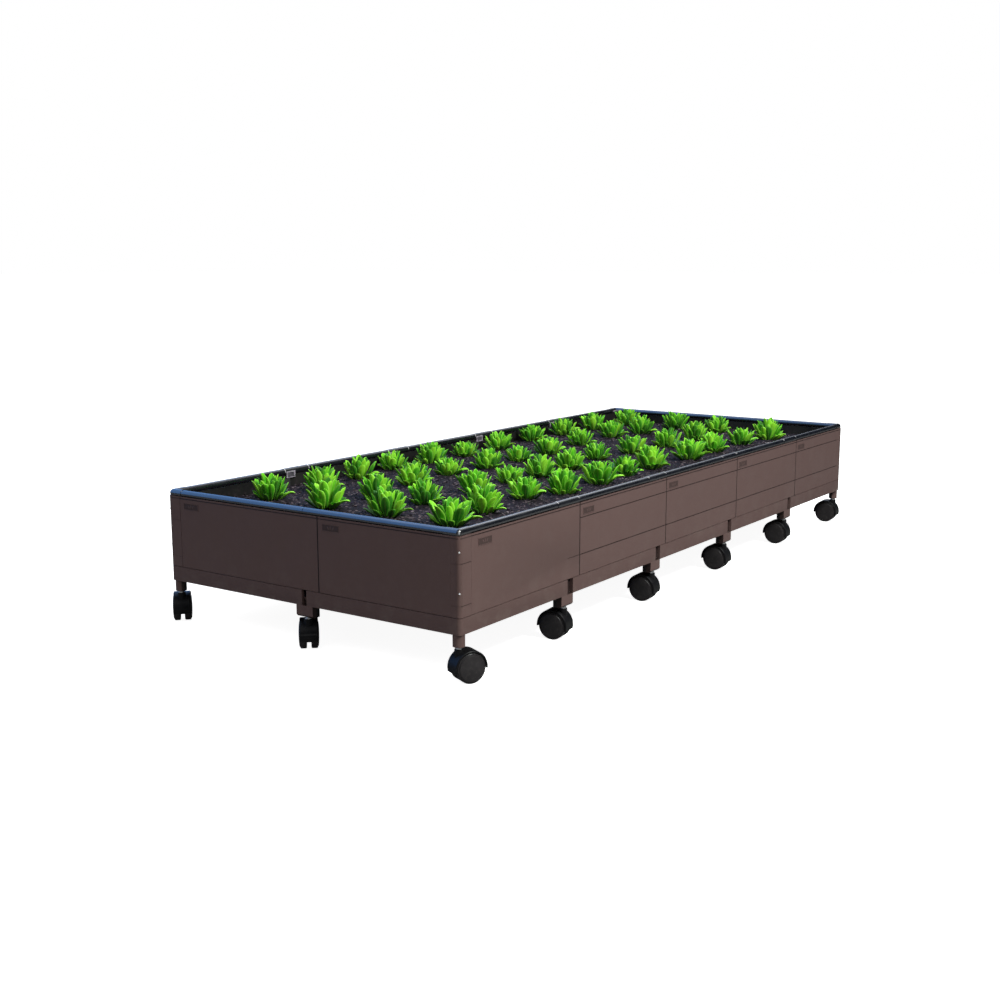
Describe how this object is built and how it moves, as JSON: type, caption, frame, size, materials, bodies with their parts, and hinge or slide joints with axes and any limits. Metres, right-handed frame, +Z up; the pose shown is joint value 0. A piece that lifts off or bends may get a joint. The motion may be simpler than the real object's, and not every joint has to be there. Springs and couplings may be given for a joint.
{
  "type": "rolling garden bed",
  "caption": "Low modular raised garden bed of brown plastic panels with a round edge rail, soil and lettuces, on short legs with twin-wheel swivel casters.",
  "frame": {"origin": "on the floor under the middle of the bed", "axes": "+X along the long side, +Y across towards the rear long side, +Z up"},
  "size_m": [2.0272, 0.8847, 0.3392],
  "materials": {
    "brown_panel": "moulded dark brown resin, fine satin texture",
    "brown_tray": "moulded dark brown resin",
    "dark_nylon": "black nylon",
    "rail_gloss": "glossy blue-black tube",
    "rail_fitting": "glossy black moulded fitting",
    "bright_steel": "zinc-plated steel",
    "beam_paint": "black powder coat",
    "caster_hood": "black satin nylon",
    "caster_wheel": "black satin nylon, smooth domed face",
    "soil": "loose crumbly potting mix",
    "leaf": "fresh lettuce leaves"
  },
  "bodies": {
    "root": {"long_wall_panels": "brown_panel", "end_wall_panels": "brown_panel", "panel_joiner_strips": "dark_nylon", "corner_posts": "brown_panel", "corner_snap_pins": "bright_steel", "rail_tubes": "rail_gloss", "rail_joiner_sleeves": "rail_fitting", "rail_corner_elbows": "rail_fitting", "floor_trays": "brown_tray", "drain_strainers": "dark_nylon", "corner_legs": "brown_tray", "leg_brackets": "brown_tray", "bracket_screws": "bright_steel", "cross_beams": "beam_paint", "panel_badges": "brown_panel", "potting_soil": "soil", "lettuce_plants": "leaf", "stem_sockets": "dark_nylon"},
    "front_caster_1": {"front_caster_1_hood": "caster_hood", "front_caster_1_stem": "bright_steel"},
    "front_caster_1_axle": {"front_caster_1_wheels": "caster_wheel"},
    "front_caster_2": {"front_caster_2_hood": "caster_hood", "front_caster_2_stem": "bright_steel"},
    "front_caster_2_axle": {"front_caster_2_wheels": "caster_wheel"},
    "front_caster_3": {"front_caster_3_hood": "caster_hood", "front_caster_3_stem": "bright_steel"},
    "front_caster_3_axle": {"front_caster_3_wheels": "caster_wheel"},
    "front_caster_4": {"front_caster_4_hood": "caster_hood", "front_caster_4_stem": "bright_steel"},
    "front_caster_4_axle": {"front_caster_4_wheels": "caster_wheel"},
    "front_caster_5": {"front_caster_5_hood": "caster_hood", "front_caster_5_stem": "bright_steel"},
    "front_caster_5_axle": {"front_caster_5_wheels": "caster_wheel"},
    "front_caster_6": {"front_caster_6_hood": "caster_hood", "front_caster_6_stem": "bright_steel"},
    "front_caster_6_axle": {"front_caster_6_wheels": "caster_wheel"},
    "rear_caster_1": {"rear_caster_1_hood": "caster_hood", "rear_caster_1_stem": "bright_steel"},
    "rear_caster_1_axle": {"rear_caster_1_wheels": "caster_wheel"},
    "rear_caster_2": {"rear_caster_2_hood": "caster_hood", "rear_caster_2_stem": "bright_steel"},
    "rear_caster_2_axle": {"rear_caster_2_wheels": "caster_wheel"},
    "rear_caster_3": {"rear_caster_3_hood": "caster_hood", "rear_caster_3_stem": "bright_steel"},
    "rear_caster_3_axle": {"rear_caster_3_wheels": "caster_wheel"},
    "rear_caster_4": {"rear_caster_4_hood": "caster_hood", "rear_caster_4_stem": "bright_steel"},
    "rear_caster_4_axle": {"rear_caster_4_wheels": "caster_wheel"},
    "rear_caster_5": {"rear_caster_5_hood": "caster_hood", "rear_caster_5_stem": "bright_steel"},
    "rear_caster_5_axle": {"rear_caster_5_wheels": "caster_wheel"},
    "rear_caster_6": {"rear_caster_6_hood": "caster_hood", "rear_caster_6_stem": "bright_steel"},
    "rear_caster_6_axle": {"rear_caster_6_wheels": "caster_wheel"},
    "left_caster": {"left_caster_hood": "caster_hood", "left_caster_stem": "bright_steel"},
    "left_caster_axle": {"left_caster_wheels": "caster_wheel"},
    "right_caster": {"right_caster_hood": "caster_hood", "right_caster_stem": "bright_steel"},
    "right_caster_axle": {"right_caster_wheels": "caster_wheel"}
  },
  "joints": [
    {"name": "front_caster_1_swivel", "type": "hinge", "parent": "root", "child": "front_caster_1", "pos_m": [-0.986, -0.396, 0.075], "axis": [0, 0, 1], "continuous": true},
    {"name": "front_caster_1_roll", "type": "hinge", "parent": "front_caster_1", "child": "front_caster_1_axle", "pos_m": [-0.96892, -0.40433, 0.031], "axis": [0.4384, 0.8988, 0], "continuous": true},
    {"name": "front_caster_2_swivel", "type": "hinge", "parent": "root", "child": "front_caster_2", "pos_m": [-0.61, -0.399, 0.075], "axis": [0, 0, 1], "continuous": true},
    {"name": "front_caster_2_roll", "type": "hinge", "parent": "front_caster_2", "child": "front_caster_2_axle", "pos_m": [-0.61232, -0.38014, 0.031], "axis": [-0.9925, -0.1219, 0], "continuous": true},
    {"name": "front_caster_3_swivel", "type": "hinge", "parent": "root", "child": "front_caster_3", "pos_m": [-0.21, -0.399, 0.075], "axis": [0, 0, 1], "continuous": true},
    {"name": "front_caster_3_roll", "type": "hinge", "parent": "front_caster_3", "child": "front_caster_3_axle", "pos_m": [-0.21133, -0.38005, 0.031], "axis": [-0.9976, -0.0698, 0], "continuous": true},
    {"name": "front_caster_4_swivel", "type": "hinge", "parent": "root", "child": "front_caster_4", "pos_m": [0.19, -0.399, 0.075], "axis": [0, 0, 1], "continuous": true},
    {"name": "front_caster_4_roll", "type": "hinge", "parent": "front_caster_4", "child": "front_caster_4_axle", "pos_m": [0.18934, -0.38001, 0.031], "axis": [-0.9994, -0.0349, 0], "continuous": true},
    {"name": "front_caster_5_swivel", "type": "hinge", "parent": "root", "child": "front_caster_5", "pos_m": [0.59, -0.399, 0.075], "axis": [0, 0, 1], "continuous": true},
    {"name": "front_caster_5_roll", "type": "hinge", "parent": "front_caster_5", "child": "front_caster_5_axle", "pos_m": [0.58901, -0.38003, 0.031], "axis": [-0.9986, -0.0523, 0], "continuous": true},
    {"name": "front_caster_6_swivel", "type": "hinge", "parent": "root", "child": "front_caster_6", "pos_m": [0.986, -0.396, 0.075], "axis": [0, 0, 1], "continuous": true},
    {"name": "front_caster_6_roll", "type": "hinge", "parent": "front_caster_6", "child": "front_caster_6_axle", "pos_m": [0.98434, -0.37707, 0.031], "axis": [-0.9962, -0.0872, 0], "continuous": true},
    {"name": "rear_caster_1_swivel", "type": "hinge", "parent": "root", "child": "rear_caster_1", "pos_m": [-0.986, 0.396, 0.075], "axis": [0, 0, 1], "continuous": true},
    {"name": "rear_caster_1_roll", "type": "hinge", "parent": "rear_caster_1", "child": "rear_caster_1_axle", "pos_m": [-0.9728, 0.40967, 0.031], "axis": [-0.7193, 0.6947, 0], "continuous": true},
    {"name": "rear_caster_2_swivel", "type": "hinge", "parent": "root", "child": "rear_caster_2", "pos_m": [-0.59, 0.399, 0.075], "axis": [0, 0, 1], "continuous": true},
    {"name": "rear_caster_2_roll", "type": "hinge", "parent": "rear_caster_2", "child": "rear_caster_2_axle", "pos_m": [-0.58573, 0.38049, 0.031], "axis": [0.9744, 0.225, 0], "continuous": true},
    {"name": "rear_caster_3_swivel", "type": "hinge", "parent": "root", "child": "rear_caster_3", "pos_m": [-0.19, 0.399, 0.075], "axis": [0, 0, 1], "continuous": true},
    {"name": "rear_caster_3_roll", "type": "hinge", "parent": "rear_caster_3", "child": "rear_caster_3_axle", "pos_m": [-0.19264, 0.38018, 0.031], "axis": [0.9903, -0.1392, 0], "continuous": true},
    {"name": "rear_caster_4_swivel", "type": "hinge", "parent": "root", "child": "rear_caster_4", "pos_m": [0.21, 0.399, 0.075], "axis": [0, 0, 1], "continuous": true},
    {"name": "rear_caster_4_roll", "type": "hinge", "parent": "rear_caster_4", "child": "rear_caster_4_axle", "pos_m": [0.21033, 0.38, 0.031], "axis": [0.9998, 0.0175, 0], "continuous": true},
    {"name": "rear_caster_5_swivel", "type": "hinge", "parent": "root", "child": "rear_caster_5", "pos_m": [0.61, 0.399, 0.075], "axis": [0, 0, 1], "continuous": true},
    {"name": "rear_caster_5_roll", "type": "hinge", "parent": "rear_caster_5", "child": "rear_caster_5_axle", "pos_m": [0.60288, 0.38138, 0.031], "axis": [0.9272, -0.3746, 0], "continuous": true},
    {"name": "rear_caster_6_swivel", "type": "hinge", "parent": "root", "child": "rear_caster_6", "pos_m": [0.986, 0.396, 0.075], "axis": [0, 0, 1], "continuous": true},
    {"name": "rear_caster_6_roll", "type": "hinge", "parent": "rear_caster_6", "child": "rear_caster_6_axle", "pos_m": [0.96838, 0.40312, 0.031], "axis": [-0.3746, -0.9272, 0], "continuous": true},
    {"name": "left_caster_swivel", "type": "hinge", "parent": "root", "child": "left_caster", "pos_m": [-0.989, 0, 0.075], "axis": [0, 0, 1], "continuous": true},
    {"name": "left_caster_roll", "type": "hinge", "parent": "left_caster", "child": "left_caster_axle", "pos_m": [-0.97488, 0.01271, 0.031], "axis": [-0.6691, 0.7431, 0], "continuous": true},
    {"name": "right_caster_swivel", "type": "hinge", "parent": "root", "child": "right_caster", "pos_m": [0.989, 0, 0.075], "axis": [0, 0, 1], "continuous": true},
    {"name": "right_caster_roll", "type": "hinge", "parent": "right_caster", "child": "right_caster_axle", "pos_m": [0.97488, -0.01271, 0.031], "axis": [0.6691, -0.7431, 0], "continuous": true}
  ]
}
